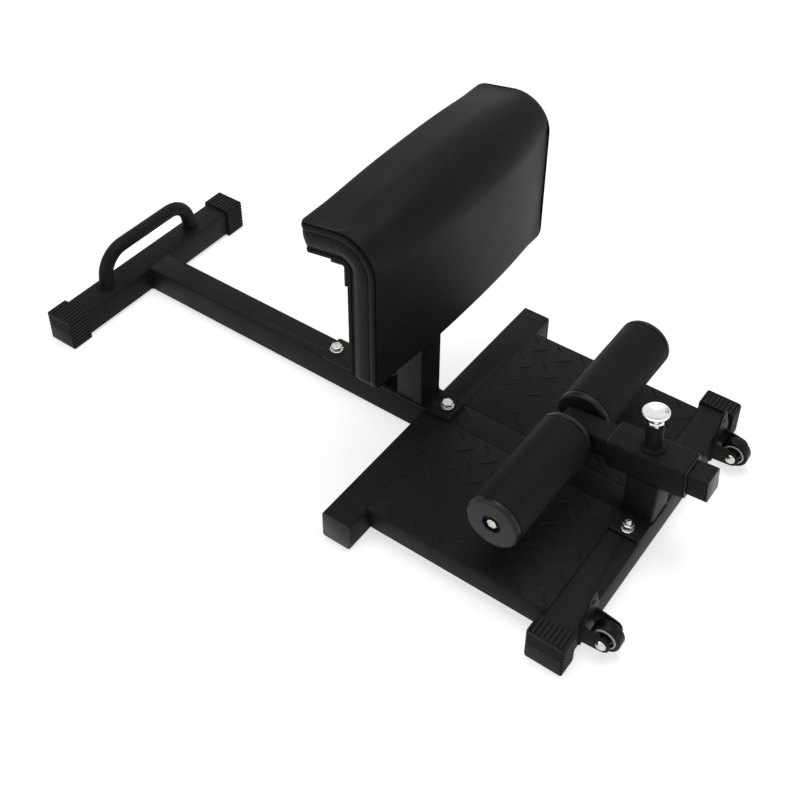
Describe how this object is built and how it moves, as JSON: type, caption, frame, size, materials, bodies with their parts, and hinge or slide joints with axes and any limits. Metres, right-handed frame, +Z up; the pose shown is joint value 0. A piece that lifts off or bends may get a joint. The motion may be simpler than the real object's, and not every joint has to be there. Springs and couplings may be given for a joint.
{
  "type": "sissy squat machine",
  "caption": "Floor-standing sissy squat bench: T-shaped square-tube frame with a tread deck, padded calf support on an upright, sliding foam foot rollers and transport wheels.",
  "frame": {"origin": "on the floor, under the middle of the machine's box", "axes": "+X from the carry handle to the foot rollers, +Y away from the long side that the picture shows, +Z up"},
  "size_m": [1.1224, 0.562, 0.5319],
  "materials": {
    "black_powder_coat": "matte, fine texture",
    "black_plastic": "satin",
    "black_rubber": "matte",
    "black_vinyl": "satin, fine grain",
    "black_foam": "matte, closed-cell foam",
    "black_board": "matte, black cloth over board",
    "zinc_steel": "zinc plated",
    "chrome": "polished",
    "cream_plastic": "satin"
  },
  "bodies": {
    "frame": {"rear_crossbar": "black_powder_coat", "carry_handle": "black_powder_coat", "rear_cap_left": "black_rubber", "rear_cap_right": "black_rubber", "main_beam": "black_powder_coat", "inner_crossbar": "black_powder_coat", "inner_plug_left": "black_plastic", "inner_plug_right": "black_plastic", "centre_tube": "black_powder_coat", "tread_plate_left": "black_powder_coat", "tread_plate_right": "black_powder_coat", "outer_crossbar": "black_powder_coat", "outer_cap_left": "black_rubber", "outer_cap_right": "black_rubber", "upright_base_plate": "black_powder_coat", "upright_post": "black_powder_coat", "upright_brace": "black_powder_coat", "base_bolt_rear": "zinc_steel", "base_bolt_front": "zinc_steel", "base_nut_rear": "zinc_steel", "base_nut_front": "zinc_steel", "pad_mount": "black_powder_coat", "pad_board": "black_board", "calf_pad": "black_vinyl", "pad_angle_left": "black_powder_coat", "pad_angle_right": "black_powder_coat", "pad_bolt_left": "zinc_steel", "pad_bolt_right": "zinc_steel", "roller_flange": "black_powder_coat", "roller_post": "black_powder_coat", "flange_bolt_left": "zinc_steel", "flange_bolt_right": "zinc_steel", "flange_nut_left": "zinc_steel", "flange_nut_right": "zinc_steel", "roller_sleeve": "black_powder_coat", "sleeve_bushing_front": "black_plastic", "sleeve_bushing_rear": "black_plastic", "pin_barrel": "black_powder_coat", "wheel_bracket_left": "black_powder_coat", "wheel_bracket_right": "black_powder_coat", "wheel_axle_left": "zinc_steel", "wheel_axle_right": "zinc_steel"},
    "roller_carriage": {"slide_tube": "black_powder_coat", "slide_plug": "black_plastic", "roller_axle": "zinc_steel", "roller_screw_left": "zinc_steel", "roller_screw_right": "zinc_steel"},
    "pull_pin": {"pull_pin": "zinc_steel", "pin_nut": "chrome", "pin_knob": "chrome"},
    "roller_left": {"roller_foam_left": "black_foam", "roller_cap_inner_left": "black_plastic", "roller_cap_outer_left": "black_plastic"},
    "wheel_left": {"wheel_tyre_left": "black_rubber", "wheel_hub_left": "cream_plastic"},
    "roller_right": {"roller_foam_right": "black_foam", "roller_cap_inner_right": "black_plastic", "roller_cap_outer_right": "black_plastic"},
    "wheel_right": {"wheel_tyre_right": "black_rubber", "wheel_hub_right": "cream_plastic"}
  },
  "joints": [
    {"name": "roller_slide", "type": "slide", "parent": "frame", "child": "roller_carriage", "axis": [0.9971, 0, 0.0767], "range_m": [-0.05, 0]},
    {"name": "pin_pull", "type": "slide", "parent": "frame", "child": "pull_pin", "axis": [-0.0767, 0, 0.9971], "range_m": [0, 0.01], "stiffness_N_per_m": 600, "springref_m": -0.008},
    {"name": "roller_turn_left", "type": "hinge", "parent": "roller_carriage", "child": "roller_left", "pos_m": [0.34363, 0, 0.15091], "axis": [0, 1, 0], "continuous": true},
    {"name": "wheel_turn_left", "type": "hinge", "parent": "frame", "child": "wheel_left", "pos_m": [0.52426, -0.205, 0.032], "axis": [0, 1, 0], "continuous": true},
    {"name": "roller_turn_right", "type": "hinge", "parent": "roller_carriage", "child": "roller_right", "pos_m": [0.34363, 0, 0.15091], "axis": [0, 1, 0], "continuous": true},
    {"name": "wheel_turn_right", "type": "hinge", "parent": "frame", "child": "wheel_right", "pos_m": [0.52426, 0.205, 0.032], "axis": [0, 1, 0], "continuous": true}
  ]
}
